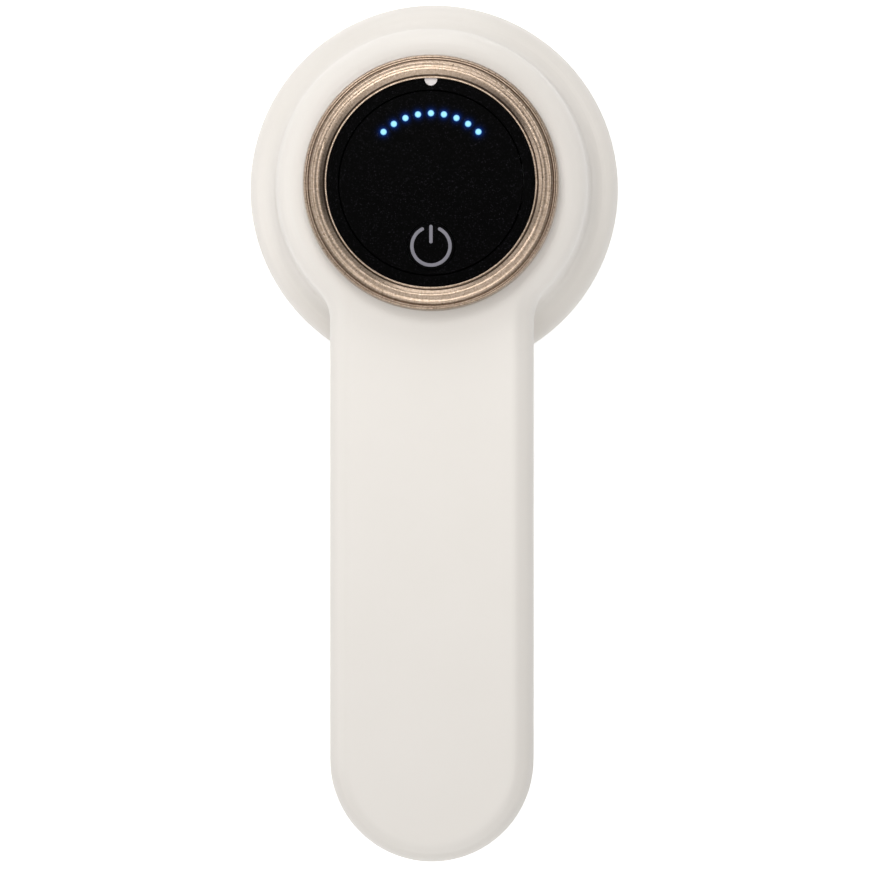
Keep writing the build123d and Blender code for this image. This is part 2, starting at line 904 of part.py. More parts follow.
def motor_bushes():
    axis = Pos(0, 0, motor_axis_z)
    front = rod(bush_radius, motor_front_x - 0.8, motor_front_x - 0.8 + bush_length)
    back = rod(bush_radius, motor_back_x - 0.8, motor_back_x - 0.8 + bush_length)
    bore = rod(shaft_radius + 0.03, motor_back_x - 3, motor_front_x + 5)
    return group([axis * (front - bore), axis * (back - bore)])


def motor_magnets():
    """Two curved magnets inside the can, one on each side of the armature."""
    start = motor_back_x + 3.0
    end = motor_front_x - motor_wall - 1.0
    outer = motor_radius - motor_wall - 0.05
    band = rod(outer, start, end) - rod(armature_radius + 0.5, start - 1, end + 1)
    arcs = []
    for side in (-1, 1):
        block = Pos((start + end) / 2, side * outer, 0) * Box(end - start, 2 * outer - 5, 9.0)
        arcs.append(Pos(0, 0, motor_axis_z) * (band & block))
    return group(arcs)


def motor_armature():
    start = motor_back_x + 3.6
    axis = Pos(0, 0, motor_axis_z)
    core = rod(armature_radius, start, start + armature_length)
    core = core - rod(shaft_radius + fit_gap, start - 1, start + armature_length + 1)
    slot = Pos(start + armature_length / 2, 0, armature_radius) * Box(armature_length + 1, 1.0, 5.0)
    for angle in (0, 120, 240):
        core = core - Rot(angle, 0, 0) * slot
    return axis * core


def motor_shaft():
    return Pos(0, 0, motor_axis_z) * rod(
        shaft_radius, motor_back_x - 0.6, weight_x + weight_length + 0.8
    )


def eccentric_weight():
    """Half-round weight with a hub, pressed on the shaft."""
    end = weight_x + weight_length
    half = rod(weight_radius, weight_x, end) & Pos(weight_x + weight_length / 2, 0, -weight_radius) * Box(
        weight_length + 2, 4 * weight_radius, 2 * weight_radius
    )
    body = half + rod(3 * shaft_radius, weight_x, end)
    return Pos(0, 0, motor_axis_z) * (body - rod(shaft_radius + fit_gap, weight_x - 1, end + 1))


def motor_mount():
    """Plate on the head's shelf that carries the motor; open where the wires pass."""
    shank, _, _ = frame_screw
    board_shank, _, _ = board_screw
    top_z = mount_z + mount_thickness
    body = column(mount_radius, mount_z, top_z)
    body = body - slab(0, -mount_radius, mount_z - 1, top_z + 1, 22.0, 18.0)
    for hole in at(around(base_screw_radius, base_screw_angles),
                   column(shank + screw_gap, mount_z - 1, top_z + 1)):
        body = body - hole
    for side in (-1, 1):
        body = body - Pos(clamp_x, side * clamp_screw_y) * column(
            board_shank + screw_gap, mount_z - 1, top_z + 1
        )
    return body


def motor_pad():
    low = mount_z + mount_thickness
    return slab(clamp_x, 0, low, motor_bottom_z, motor_length - 2, 12.0)


def motor_clamp():
    """Steel strap over the motor with a foot on each side."""
    low = mount_z + mount_thickness
    gap = 0.1
    outer = motor_solid(
        motor_radius + gap + clamp_thickness, motor_height + 2 * (gap + clamp_thickness),
        clamp_x - clamp_width / 2, clamp_x + clamp_width / 2,
    )
    legs = slab(
        clamp_x, 0, low, motor_axis_z, clamp_width, 2 * (motor_radius + gap + clamp_thickness)
    )
    inner = motor_solid(
        motor_radius + gap, motor_height + 2 * gap,
        clamp_x - clamp_width, clamp_x + clamp_width,
    )
    under = slab(clamp_x, 0, low - 1, motor_axis_z, 2 * clamp_width, 2 * (motor_radius + gap))
    feet = slab(
        clamp_x, 0, low, low + clamp_thickness, clamp_width, 2 * (clamp_screw_y + 2.6)
    )
    body = (outer + legs + feet) - inner - under
    shank, _, _ = board_screw
    for side in (-1, 1):
        body = body - Pos(clamp_x, side * clamp_screw_y) * column(
            shank + screw_gap, low - 1, low + 2
        )
    return body


def motor_clamp_screws():
    seat = mount_z + mount_thickness + clamp_thickness
    places = [(clamp_x, side * clamp_screw_y, seat) for side in (-1, 1)]
    return group(at(places, screw(board_screw, clamp_thickness + mount_thickness - 0.1)))


# Handle contents

def lengthwise(radius, start, end, z):
    """Cylinder along Y between two Y values."""
    return Pos(0, start, z) * extrude(Plane.XZ * Circle(radius), start - end)


def battery_cell():
    body = lengthwise(battery_radius, battery_start_y, battery_end_y, battery_axis_z)
    return fillet(body.edges().filter_by(GeomType.CIRCLE), 0.8)


def battery_tabs():
    half = 4.0
    tabs = []
    for y in (battery_start_y + tab_thickness / 2 + 0.02, battery_end_y - tab_thickness / 2 - 0.02):
        tabs.append(Pos(0, y, battery_axis_z) * Box(2 * half, tab_thickness, 2 * half))
    return group(tabs)


def battery_cradle():
    """Tray under the cell, with end walls and two ears."""
    shank, _, _ = board_screw
    half = battery_radius + cradle_wall
    start = battery_start_y + cradle_slack + cradle_end_wall
    end = battery_end_y - cradle_slack - cradle_end_wall
    middle = (start + end) / 2
    body = slab(0, middle, floor_z, floor_z + cradle_height, 2 * half, start - end)
    body = body - lengthwise(
        battery_radius + seat_gap, battery_start_y + cradle_slack,
        battery_end_y - cradle_slack, battery_axis_z,
    )
    for x, y in cradle_screw_places:
        ear = slab(
            x * 0.88, y, cradle_ear_z, cradle_ear_z + cradle_ear_thickness,
            2 * abs(x) * 0.12 + 2 * post_radius + 0.6, 2 * post_radius + 1,
        )
        ear = ear - lengthwise(
            battery_radius + seat_gap, battery_start_y, battery_end_y, battery_axis_z
        )
        body = body + ear
        body = body - Pos(x, y) * column(shank + screw_gap, cradle_ear_z - 1, cradle_ear_z + 3)
    return body


def cradle_screws():
    seat = cradle_ear_z + cradle_ear_thickness
    places = [(x, y, seat) for x, y in cradle_screw_places]
    return group(at(places, screw(board_screw, 4.4)))


def battery_pad():
    low = battery_axis_z + battery_radius + seat_gap
    return slab(
        0, (battery_start_y + battery_end_y) / 2, low, ceiling_z - 0.05, 10.0, battery_length - 25
    )


def main_board():
    shank, _, _ = board_screw
    middle = (main_board_start_y + main_board_end_y) / 2
    plan = Pos(0, middle) * RectangleRounded(main_board_width, main_board_length, 2.0)
    body = Pos(0, 0, main_board_z) * extrude(plan, main_board_thickness)
    for hole in at(board_post_places, column(shank + screw_gap, main_board_z - 1, main_board_z + 3)):
        body = body - hole
    return body


def main_board_screws():
    places = [(x, y, main_board_top_z) for x, y in board_post_places]
    return group(at(places, screw(board_screw, 4.5)))


def board_parts():
    """Controller, driver, choke, capacitor and plug sockets on the main board."""
    low = main_board_top_z
    start = main_board_start_y
    parts = [
        slab(0, start - 16.0, low, low + 1.0, 7.0, 7.0),
        slab(-5.5, start - 24.5, low, low + 1.2, 4.0, 5.0),
        slab(4.5, start - 25.0, low, low + 3.0, 6.0, 6.0),
        Pos(0, start - 36.0) * column(3.15, low, low + 5.8),
        slab(-plug_x, plug_y, low, plug_top_z, 5.0, 4.4),
        slab(plug_x, plug_y, low, plug_top_z, 5.0, 4.4),
        slab(signal_plug_x, signal_plug_y, low, plug_top_z, 4.0, 5.0),
        slab(-signal_plug_x, signal_plug_y, low, plug_top_z, 4.0, 5.0),
        slab(7.4, start - 18.0, low, low + 0.9, 3.2, 1.8),
    ]
    return group(parts)


def socket_form(grow, start):
    """Rounded bar with the outline of the charging socket, from its mouth inwards."""
    height = socket_height + 2 * grow
    middle_z = main_board_top_z + socket_height / 2
    plan = SlotOverall(socket_width + 2 * grow, height)
    length = handle_end_y + socket_recess + socket_length - start
    return Pos(0, start, middle_z) * extrude(Plane.XZ * plan, -length)


def charging_socket():
    mouth = handle_end_y + socket_recess
    body = socket_form(0.0, mouth)
    hollow = socket_form(-0.32, mouth - 1)
    keep = Pos(0, mouth, main_board_top_z) * Box(30, 2 * (socket_length - 1.0), 30)
    tongue_z = main_board_top_z + socket_height / 2
    tongue = Pos(0, mouth + socket_length / 2 + 0.6, tongue_z) * Box(6.7, socket_length - 1.4, 0.7)
    return body - (hollow & keep) + tongue


def lead(points):
    return wire(points, lead_radius, lead_bend)


def battery_leads():
    """Leads from the cell's two tabs to their plug; one runs back beside the cell."""
    near_tab_y = battery_start_y + tab_thickness + 0.04
    far_tab_y = battery_end_y - tab_thickness - 0.04
    plug_top = plug_top_z + 0.02
    far = [
        (2.5, far_tab_y, battery_axis_z),
        (2.5, far_tab_y - 2.6, battery_axis_z),
        (-1.5, main_board_start_y + 0.4, battery_axis_z + 2.7),
        (-2.4, plug_y, battery_axis_z + 2.7),
        (-2.4, plug_y, plug_top),
    ]
    near = [
        (-2.5, near_tab_y, battery_axis_z + 2.5),
        (-2.5, near_tab_y + 1.8, battery_axis_z + 2.5),
        (-9.0, near_tab_y + 1.6, battery_axis_z + 6.2),
        (-11.6, battery_start_y - 4.2, battery_axis_z + 9.6),
        (-11.6, battery_end_y + 0.8, battery_axis_z + 9.6),
        (-5.0, main_board_start_y - 2.0, battery_axis_z + 6.0),
        (-4.2, plug_y, plug_top + 3.0),
        (-4.2, plug_y, plug_top),
    ]
    return group([lead(far), lead(near)])


def handle_run(side, plug_place, x, z):
    """Points of a lead from its plug up beside the cell and along it to the head."""
    plug_x_place, plug_y_place = plug_place
    return [
        (side * plug_x_place, plug_y_place, plug_top_z + 0.02),
        (side * plug_x_place, plug_y_place, plug_top_z + 4.0),
        (side * x, battery_end_y - 1.2, z),
        (side * x, battery_start_y - 8.2, z),
    ]


def light_leads():
    """Leads from the main board to the red light board."""
    board_z = light_board_z + light_board_thickness + 0.02
    pair = []
    for step in (0.0, 1.5):
        points = handle_run(1, (plug_x - 0.7 + step, plug_y), 10.4 + step, 31.2)
        points += [
            (10.8 + step, -38.5, 27.5),
            (8.0 + step, -33.0, 24.0),
            (5.6 + step, -29.6, 16.0),
            (4.6 + step, -26.6, 12.0),
            (4.6 + step, -26.4, board_z),
        ]
        pair.append(lead(points))
    return group(pair)


def display_leads():
    """Leads from the main board through the carrier's slot to the display board."""
    pair = []
    for step in (0.0, 1.5):
        points = handle_run(1, (signal_plug_x - 0.7 + step, signal_plug_y), 10.4 + step, 33.4)
        points += [
            (9.4 + step, -38.6, 31.0),
            (8.6 + step, -36.0, 28.3),
            (4.6 + step, -29.0, 27.0),
            (1.6 + step, -15.0, 27.0),
            (1.6 + step, -10.4, 29.0),
            (1.6 + step, -10.4, display_board_z - 0.02),
        ]
        pair.append(lead(points))
    return group(pair)


def motor_leads():
    """Leads from the main board to the motor's end cap."""
    cap_x = motor_back_x - end_cap_thickness - 0.02
    pair = []
    for step in (0.0, 1.5):
        points = handle_run(-1, (signal_plug_x - 0.7 + step, signal_plug_y), 10.2 + step, 31.0)
        points += [
            (-10.6 - step, -38.5, 27.5),
            (-13.0 - step, -32.0, 24.0),
            (-18.0 - step, -22.0, motor_axis_z + 1.0),
            (cap_x - 4.0 - step, -12.0, motor_axis_z),
            (cap_x - 4.0 - step, -3.4 - step, motor_axis_z),
            (cap_x, -3.4 - step, motor_axis_z),
        ]
        pair.append(lead(points))
    return group(pair)


nodes = {}
shell = casing_form(0.0) - casing_form(wall)
nodes["front_shell"] = front_shell(shell)
nodes["rear_shell"] = rear_shell(shell)
for make in (
    case_screws, screw_plugs,
    dial_ring, dial_collar, dial_pointer, dial_gear, dial_gear_screws, dial_glide_ring,
    dial_carrier, carrier_screws, display_board, display_board_screws, level_leds,
    level_light_guide, display_panel, power_button, power_symbol, power_switch,
    switch_plunger, level_encoder, encoder_shaft, encoder_pinion,
    contact_ring, head_base, head_base_screws, lens_window, lens_gasket, reflector,
    light_board, light_board_screws, red_leds,
    motor_mount, motor_pad, motor_clamp, motor_clamp_screws, motor_can, motor_end_cap,
    motor_bushes, motor_magnets, motor_armature, motor_shaft, eccentric_weight,
    battery_cell, battery_tabs, battery_cradle, cradle_screws, battery_pad,
    main_board, main_board_screws, board_parts, charging_socket,
    battery_leads, light_leads, display_leads, motor_leads,
):
    nodes[make.__name__] = make()

for name, shape in nodes.items():
    write(name, shape)
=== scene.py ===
import bpy
import numpy as np
from mathutils import Matrix, Vector

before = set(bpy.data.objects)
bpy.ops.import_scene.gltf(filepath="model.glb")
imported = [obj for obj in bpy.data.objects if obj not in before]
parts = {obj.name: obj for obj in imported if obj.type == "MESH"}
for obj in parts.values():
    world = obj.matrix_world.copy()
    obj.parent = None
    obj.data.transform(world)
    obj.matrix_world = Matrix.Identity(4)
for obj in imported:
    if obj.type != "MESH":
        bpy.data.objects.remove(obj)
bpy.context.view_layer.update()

# Contact ring: pressed stainless steel, ground and then polished on a turning
# fixture, so fine circular lines remain. It lies on the skin and is clipped into
# the white base that closes the head from below.


def linear(code):
    """Linear colour of an sRGB hex code: c / 12.92 up to 0.04045, else ((c + 0.055) / 1.055) ^ 2.4."""
    c = np.array([int(code[at:at + 2], 16) for at in (1, 3, 5)]) / 255
    return (*np.where(c <= 0.04045, c / 12.92, ((c + 0.055) / 1.055) ** 2.4), 1.0)


def node(tree, kind, inputs=None, **settings):
    """Adds one node and gives its outputs: settings are its properties, inputs its sockets with a
    value or a link each."""
    made = tree.nodes.new("ShaderNode" + kind)
    for key, value in settings.items():
        setattr(made, key, value)
    for key, value in (inputs or {}).items():
        if isinstance(value, bpy.types.NodeSocket):
            tree.links.new(value, made.inputs[key])
        else:
            made.inputs[key].default_value = value
    return made.outputs


def blank(name):
    """Empty material: gives it, its node tree and the object's own coordinates in metres."""
    material = bpy.data.materials.new(name)
    material.use_nodes = True
    material.node_tree.nodes.clear()
    return material, material.node_tree, node(material.node_tree, "TexCoord")["Object"]


def polar(tree, place):
    """Distance from the head's axis in metres, hypot(x, y), and angle from +Y, atan2(x, y)."""
    flat = node(tree, "VectorMath", {0: place, 1: (1.0, 1.0, 0.0)}, operation="MULTIPLY")["Vector"]
    radius = node(tree, "VectorMath", {0: flat}, operation="LENGTH")["Value"]
    axes = node(tree, "SeparateXYZ", {0: place})
    return radius, node(tree, "Math", {0: axes["X"], 1: axes["Y"]}, operation="ARCTAN2")["Value"]


def texture(tree, height, smooth, rough, depth_mm):
    """Gloss and surface that follow one height from 0 to 1: roughness smooth to rough, bump depth_mm."""
    return {
        "Roughness": node(tree, "MapRange", {"Value": height, "To Min": smooth, "To Max": rough})["Result"],
        "Normal": node(tree, "Bump", {"Height": height, "Distance": depth_mm / 1000, "Strength": 1.0})[0],
    }


def finish(name, shade, second, roughness, grain_mm, depth_mm, mottle_mm=12.0, spread=0.05, **shader):
    """Opaque finish: shade drifts to second over mottle_mm, grain_mm noise roughens gloss and surface."""
    material, tree, place = blank(name)
    mottle = node(tree, "TexNoise", {"Vector": place, "Scale": 1000 / mottle_mm, "Detail": 3.0})["Fac"]
    grain = node(tree, "TexNoise", {"Vector": place, "Scale": 1000 / grain_mm, "Detail": 2.0})["Fac"]
    colours = {0: mottle, 6: linear(shade), 7: linear(second)}
    body = node(tree, "BsdfPrincipled", {
        "Base Color": node(tree, "Mix", colours, data_type="RGBA")[2],
        **texture(tree, grain, roughness - spread, roughness + spread, depth_mm),
        **{key.replace("_", " "): value for key, value in shader.items()},
    })
    node(tree, "OutputMaterial", {"Surface": body["BSDF"]})
    return material


def wear(material, *names):
    """Gives these nodes of the frame that material."""
    for name in names:
        for slot in parts[name].material_slots:
            slot.material = material


# Polished steel: bright, and the turned lines draw its highlights out sideways.
line_mm, line_depth_mm, patch_mm = 0.25, 0.0016, 5.0
polished_stainless, tree, place = blank("polished_stainless")
radius, _ = polar(tree, place)
lines = node(
    tree, "TexNoise", {"W": radius, "Scale": 1000 / line_mm, "Detail": 2.0}, noise_dimensions="1D"
)["Fac"]
patch = node(tree, "TexNoise", {"Vector": place, "Scale": 1000 / patch_mm, "Detail": 3.0})["Fac"]
colours = {0: patch, 6: linear("#CFCDC9"), 7: linear("#BEBBB6")}
body = node(tree, "BsdfPrincipled", {
    "Base Color": node(tree, "Mix", colours, data_type="RGBA")[2], "Metallic": 1.0,
    **texture(tree, lines, 0.12, 0.22, line_depth_mm),
})
node(tree, "OutputMaterial", {"Surface": body["BSDF"]})
wear(polished_stainless, "contact_ring")

# Moulded ABS: an even white with a soft shine. Zinc plate: a cool grey, half bright.
white_abs = finish("white_abs", "#EDE9E3", "#E8E4DD", 0.42, 0.30, 0.006)
wear(white_abs, "head_base")
zinc_plated_steel = finish("zinc_plated_steel", "#C4C6CA", "#ABAEB3", 0.32, 0.20, 0.004, 1.5, Metallic=1.0)
wear(zinc_plated_steel, "head_base_screws", "case_screws", "carrier_screws")

# Red light: clear red polycarbonate window, moulded glossy, over a white reflector
# plate with a cone round each lamp. The lamps are clear domes on a white board,
# lit when the massager runs, and a black silicone ring seals the window.

# Moulded polycarbonate: clear and glossy, with a slow waviness from the tool.
polish_mm, wave_mm, wave_depth_mm = 0.4, 3.0, 0.004
red_polycarbonate, tree, place = blank("clear_red_polycarbonate")
polish = node(tree, "TexNoise", {"Vector": place, "Scale": 1000 / polish_mm, "Detail": 2.0})["Fac"]
wave = node(tree, "TexNoise", {"Vector": place, "Scale": 1000 / wave_mm, "Detail": 2.0})["Fac"]
body = node(tree, "BsdfPrincipled", {
    "Base Color": linear("#FF6E62"), "IOR": 1.585, "Transmission Weight": 1.0,
    "Roughness": node(tree, "MapRange", {"Value": polish, "To Min": 0.04, "To Max": 0.10})["Result"],
    "Normal": node(tree, "Bump", {"Height": wave, "Distance": wave_depth_mm / 1000, "Strength": 1.0})[0],
})
node(tree, "OutputMaterial", {"Surface": body["BSDF"]})
wear(red_polycarbonate, "lens_window")

# Silicone is dull black, PBT and solder mask are smooth white, and the lamps' epoxy glows.
black_silicone = finish("black_silicone", "#1B1B1C", "#121213", 0.62, 0.25, 0.006)
wear(black_silicone, "lens_gasket", "motor_pad", "battery_pad")
reflector_pbt = finish("white_reflector_pbt", "#F4F3F0", "#EDECE8", 0.30, 0.35, 0.004)
wear(reflector_pbt, "reflector")
white_solder_mask = finish("white_solder_mask", "#EFEFEA", "#E6E7E1", 0.26, 0.15, 0.004)
wear(white_solder_mask, "light_board")
red_lamp = finish(
    "red_lamp_epoxy", "#E8302A", "#D41F1C", 0.10, 0.6, 0.002,
    Emission_Color=linear("#FF2A1E"), Emission_Strength=1.6, Coat_Weight=1.0,
)
wear(red_lamp, "red_leds")
wear(zinc_plated_steel, "light_board_screws")

# Vibration motor: zinc plated can and clamp, white nylon end cap, sintered bronze
# bushes, ferrite magnets, copper windings, ground shaft and a brass half weight.
# It is clamped on a grey glass-filled mount over the red light.

# The fibres leave the grey mount matt, the nylon cap lets a little light in, the bushes
# and magnets are dull and grainy, and the turned brass and ground steel are bright.
grey_glass_nylon = finish("grey_glass_filled_nylon", "#4F5154", "#434548", 0.55, 0.35, 0.012, 4.0)
wear(grey_glass_nylon, "motor_mount", "battery_cradle")
wear(zinc_plated_steel, "motor_can", "motor_clamp", "motor_clamp_screws")
natural_nylon = finish(
    "natural_nylon", "#E4E0D4", "#D9D4C6", 0.45, 0.30, 0.006,
    Subsurface_Weight=0.1, Subsurface_Scale=0.001,
)
wear(natural_nylon, "motor_end_cap")
sintered_bronze = finish("sintered_bronze", "#9A7443", "#7C5B34", 0.48, 0.12, 0.010, 0.6, Metallic=1.0)
wear(sintered_bronze, "motor_bushes")
brass = finish("turned_brass", "#C7A254", "#B08C46", 0.28, 0.20, 0.004, 3.0, Metallic=1.0)
wear(brass, "eccentric_weight")
ferrite = finish("ferrite", "#3A3A3C", "#2C2C2E", 0.58, 0.12, 0.010, 1.0)
wear(ferrite, "motor_magnets")
ground_steel = finish("ground_steel", "#D2D3D5", "#BFC0C3", 0.20, 0.10, 0.002, 1.0, Metallic=1.0)
wear(ground_steel, "motor_shaft", "encoder_shaft")

# Windings: enamelled copper wire about 0.5 mm thick, laid side by side round the
# armature. The rows show as fine bright and dark bands under a clear enamel: painted highlight along each
# wire's crown and painted shade in the grooves between wires.

wire_mm, wire_depth_mm = 0.4935, 0.06
enamelled_copper, tree, place = blank("enamelled_copper")
# The texture's bands repeat every 2 pi / (20 x Scale).
wire_relief_and_painted_shade = node(
    tree, "TexWave", {"Vector": place, "Scale": 1000 * 2 * np.pi / (20 * wire_mm), "Distortion": 0.6},
    wave_type="BANDS", bands_direction="X",
)["Fac"]
# Dark copper in the grooves between wires is painted shade, and bright copper on their crowns is painted
# highlight.
colours = {0: wire_relief_and_painted_shade, 6: linear("#7A3A1B"), 7: linear("#C4713A")}
body = node(tree, "BsdfPrincipled", {
    "Base Color": node(tree, "Mix", colours, data_type="RGBA")[2],
    "Metallic": 1.0, "Roughness": 0.3, "Coat Weight": 0.6,
    "Normal": node(tree, "Bump", {"Height": wire_relief_and_painted_shade, "Distance": wire_depth_mm / 1000, "Strength": 1.0})[0],
})
node(tree, "OutputMaterial", {"Surface": body["BSDF"]})
wear(enamelled_copper, "motor_armature")

# Handle contents: a shrink-wrapped cell with nickel tabs in its tray, and a green
# main board with black moulded parts. The charging socket is nickel plated steel
# and the leads are flexible PVC.

# The wrap and the solder mask are glossy, the nickel is warm and half bright, the
# moulded parts are matt, and the leads have a soft shine.
cell_wrap = finish("cell_shrink_wrap", "#2C6596", "#255A88", 0.28, 0.5, 0.006)
wear(cell_wrap, "battery_cell")
nickel_strip = finish("nickel_strip", "#C9C6BE", "#B6B2A9", 0.30, 0.15, 0.004, 1.0, Metallic=1.0)
wear(nickel_strip, "battery_tabs", "charging_socket")
wear(zinc_plated_steel, "cradle_screws", "main_board_screws", "display_board_screws", "dial_gear_screws")
green_solder_mask = finish("green_solder_mask", "#14573A", "#0F4A31", 0.24, 0.15, 0.004, 2.0)
wear(green_solder_mask, "main_board", "display_board")
black_epoxy = finish("black_moulding_compound", "#1D1D1F", "#151517", 0.50, 0.12, 0.006, 1.0)
wear(black_epoxy, "board_parts", "power_switch", "level_encoder")
red_pvc = finish("red_pvc", "#B3211E", "#9E1B19", 0.38, 0.3, 0.003)
wear(red_pvc, "battery_leads", "light_leads")
black_pvc = finish("black_pvc", "#1A1A1B", "#121213", 0.38, 0.3, 0.003)
wear(black_pvc, "display_leads", "motor_leads")

# Casing: two shells of warm white ABS, injection moulded in a finely spark-eroded
# tool, which leaves a soft satin grain of about 0.2 mm. Four soft plugs of the same
# white cover the screws in the back and are a little more matt.

casing_abs = finish("warm_white_satin_abs", "#E6E1DB", "#E3DED7", 0.40, 0.22, 0.004, 25.0, 0.06, IOR=1.53)
wear(casing_abs, "front_shell", "rear_shell")
plug_tpe = finish("soft_white_tpe", "#E2DCD4", "#DED8CF", 0.58, 0.25, 0.006, 10.0)
wear(plug_tpe, "screw_plugs")

# Dial: a ring of turned aluminium, blasted and anodised champagne, pressed on a black
# ABS collar. A white dot pressed into the collar is the pointer, and an acetal gear
# is screwed to it from below.

# Anodised aluminium: a warm metal whose highlights break up in grain and short streaks
# across the face. Both are drawn coarser than the real ones so that they show.
streak_width, streak_length, speckle_mm, dial_relief_mm = 0.00038, 0.0011, 0.42, 0.024
face_radius = 0.0275
anodised_aluminium, tree, place = blank("champagne_anodised_aluminium")
radius, angle = polar(tree, place)
height = node(tree, "SeparateXYZ", {0: place})["Z"]
unrolled = node(tree, "CombineXYZ", {"X": angle, "Y": radius, "Z": height})["Vector"]
per_streak = (face_radius / streak_width, 1 / streak_length, 1 / streak_length)
streak_place = node(tree, "VectorMath", {0: unrolled, 1: per_streak}, operation="MULTIPLY")["Vector"]
streaks = node(tree, "TexNoise", {"Vector": streak_place, "Scale": 1.0, "Detail": 2.0})["Fac"]
speckle = node(tree, "TexNoise", {"Vector": place, "Scale": 1000 / speckle_mm, "Detail": 1.0})["Fac"]
both = node(tree, "Math", {0: streaks, 1: speckle}, operation="ADD")["Value"]
grain = node(tree, "Math", {0: both, 1: 0.5}, operation="MULTIPLY")["Value"]
stretched = node(tree, "MapRange", {"Value": grain, "From Min": 0.35, "From Max": 0.65})["Result"]
colours = {0: stretched, 6: linear("#857463"), 7: linear("#AC9A8A")}
body = node(tree, "BsdfPrincipled", {
    "Base Color": node(tree, "Mix", colours, data_type="RGBA")[2], "Metallic": 1.0,
    **texture(tree, grain, 0.22, 0.38, dial_relief_mm),
})
node(tree, "OutputMaterial", {"Surface": body["BSDF"]})
wear(anodised_aluminium, "dial_ring")

# Black ABS with the display's fleck: near black and matt, with hardly any highlight.
fleck_mm, black_roughness, black_specular = 0.28, 0.42, 0.015


def flecked_black(tree, place, grain_mm, depth_mm):
    """Near black with sparse lighter flecks, the peaks of a fleck_mm noise above 0.62, on a fine grain."""
    peaks = node(tree, "TexNoise", {"Vector": place, "Scale": 1000 / fleck_mm, "Detail": 1.0})["Fac"]
    fleck = node(tree, "MapRange", {"Value": peaks, "From Min": 0.62, "From Max": 0.80})["Result"]
    colours = {0: fleck, 6: linear("#020202"), 7: linear("#262429")}
    grain = node(tree, "TexNoise", {"Vector": place, "Scale": 1000 / grain_mm, "Detail": 2.0})["Fac"]
    return {
        "Base Color": node(tree, "Mix", colours, data_type="RGBA")[2],
        "Roughness": black_roughness, "Specular IOR Level": black_specular,
        "Normal": node(tree, "Bump", {"Height": grain, "Distance": depth_mm / 1000, "Strength": 1.0})[0],
    }


black_abs, tree, place = blank("black_abs")
body = node(tree, "BsdfPrincipled", flecked_black(tree, place, 0.25, 0.004))
node(tree, "OutputMaterial", {"Surface": body["BSDF"]})
wear(black_abs, "dial_collar", "dial_carrier")

# Acetal and polycarbonate: smooth moulded surfaces with a soft, waxy shine.
black_acetal = finish("black_acetal", "#161617", "#101011", 0.38, 0.3, 0.004)
wear(black_acetal, "dial_glide_ring", "encoder_pinion")
white_pc = finish("white_polycarbonate", "#DED7D6", "#D7D0CF", 0.35, 0.3, 0.003)
wear(white_pc, "dial_pointer", "switch_plunger", "level_leds")
acetal = finish("natural_acetal", "#EFEDE6", "#E5E3DB", 0.36, 0.3, 0.004)
wear(acetal, "dial_gear")

# Display: a black acrylic panel with a matt hard coat that shows a very fine fleck.
# Nine clear pins carry blue light to its face, and each pin's light spreads a
# little in the coat. The cap of the power button has a translucent grey sign.

level_radius, level_pitch, last_level = 0.0166, np.radians(10.75), 4.0
pin_radius, core_radius, glow_fade, glow_share = 0.00075, 0.00045, 0.00035, 0.5


def level_distance(tree, place):
    """Distance in metres to the nearest level pin: pins stand every level_pitch on one circle, so the
    angle from +Y is counted in pitches, k is that count rounded and held to -4..4, and
    d = hypot(radius - R, R pitch (count - k))."""
    radius, angle = polar(tree, place)
    count = node(tree, "Math", {0: angle, 1: level_pitch}, operation="DIVIDE")["Value"]
    whole = node(tree, "Math", {0: count}, operation="ROUND")["Value"]
    nearest = node(tree, "Clamp", {"Value": whole, "Min": -last_level, "Max": last_level})["Result"]
    turn = node(tree, "Math", {0: count, 1: nearest}, operation="SUBTRACT")["Value"]
    along = node(tree, "Math", {0: turn, 1: level_radius * level_pitch}, operation="MULTIPLY")["Value"]
    across = node(tree, "Math", {0: radius, 1: level_radius}, operation="SUBTRACT")["Value"]
    offset = node(tree, "CombineXYZ", {"X": along, "Y": across})["Vector"]
    return node(tree, "VectorMath", {0: offset}, operation="LENGTH")["Value"]


# Hard-coated acrylic: matt black, with a blue halo exp((pin radius - d) / fade) at each pin.
hard_coated_acrylic, tree, place = blank("black_hard_coated_acrylic")
past_edge = node(tree, "MapRange", {
    "Value": level_distance(tree, place), "From Min": pin_radius, "From Max": pin_radius + glow_fade,
    "To Min": 0.0, "To Max": -1.0,
}, clamp=False)["Result"]
halo = node(tree, "Math", {0: past_edge}, operation="EXPONENT")["Value"]
glow = node(tree, "Math", {0: halo, 1: glow_share}, operation="MULTIPLY")["Value"]
colours = {0: glow, 6: linear("#000000"), 7: linear("#0E3F9E")}
body = node(tree, "BsdfPrincipled", {
    **flecked_black(tree, place, 0.3, 0.002),
    "Emission Color": node(tree, "Mix", colours, data_type="RGBA")[2], "Emission Strength": 1.0,
})
node(tree, "OutputMaterial", {"Surface": body["BSDF"]})
wear(hard_coated_acrylic, "display_panel")
wear(black_abs, "power_button")

# Lit acrylic: each pin is palest in its core and blue at its edge.
lit_acrylic, tree, place = blank("lit_clear_acrylic")
edge = node(tree, "MapRange", {
    "Value": level_distance(tree, place), "From Min": core_radius, "From Max": pin_radius,
}, interpolation_type="SMOOTHSTEP")["Result"]
colours = {0: edge, 6: linear("#9EEEFF"), 7: linear("#4FA4DE")}
body = node(tree, "BsdfPrincipled", {
    "Base Color": linear("#10243A"), "Roughness": 0.25,
    "Emission Color": node(tree, "Mix", colours, data_type="RGBA")[2], "Emission Strength": 1.0,
})
node(tree, "OutputMaterial", {"Surface": body["BSDF"]})
wear(lit_acrylic, "level_light_guide")
symbol_pc = finish("translucent_grey_polycarbonate", "#74727B", "#6D6B74", 0.40, 0.3, 0.003)
wear(symbol_pc, "power_symbol")

# Studio: the massager lies on its contact ring on a white floor in a tent that glows
# overhead and beyond the handle. Four soft boxes stand round it, the strongest beyond
# the head, and a small one hangs over the head and lights the upper left of the dial.

